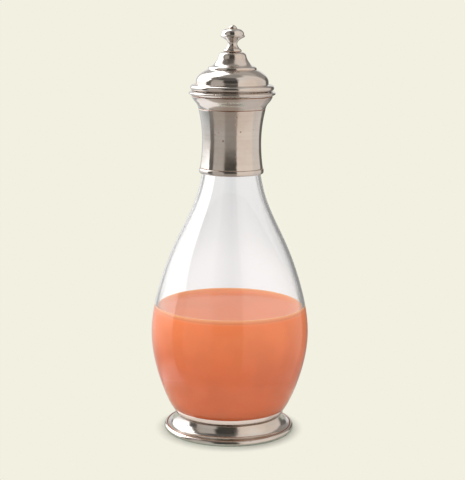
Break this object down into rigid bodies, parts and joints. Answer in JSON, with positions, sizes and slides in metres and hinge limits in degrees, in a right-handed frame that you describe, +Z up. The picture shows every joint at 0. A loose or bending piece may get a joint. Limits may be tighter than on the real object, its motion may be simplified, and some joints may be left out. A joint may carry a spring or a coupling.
{
  "type": "carafe",
  "caption": "Pear-shaped clear glass carafe in a turned pewter ring foot, with a waisted pewter collar that is its pouring mouth and a lift-off domed pewter lid with a turned finial.",
  "frame": {"origin": "centre of the ring that the foot stands on, at the level of the table", "axes": "+Z up along the axis that every piece is turned about; the carafe is round, so +X and +Y are free"},
  "size_m": [0.1148, 0.1148, 0.2952],
  "materials": {
    "clear_glass": "clear blown glass, fire polished",
    "pewter": "bright turned pewter with brown patina in its grooves",
    "setting_compound": "dull plaster-like setting compound",
    "steel": "plain steel"
  },
  "bodies": {
    "carafe": {"glass_vessel": "clear_glass", "foot": "pewter", "foot_bedding": "setting_compound", "neck_collar": "pewter", "collar_bedding": "setting_compound"},
    "lid": {"lid_dome": "pewter", "lid_flange": "pewter", "finial": "pewter", "finial_washer": "steel", "finial_nut": "steel"}
  },
  "joints": [
    {"name": "lid_lift", "type": "slide", "parent": "carafe", "child": "lid", "axis": [0, 0, 1], "range_m": [0, 0.08]}
  ]
}
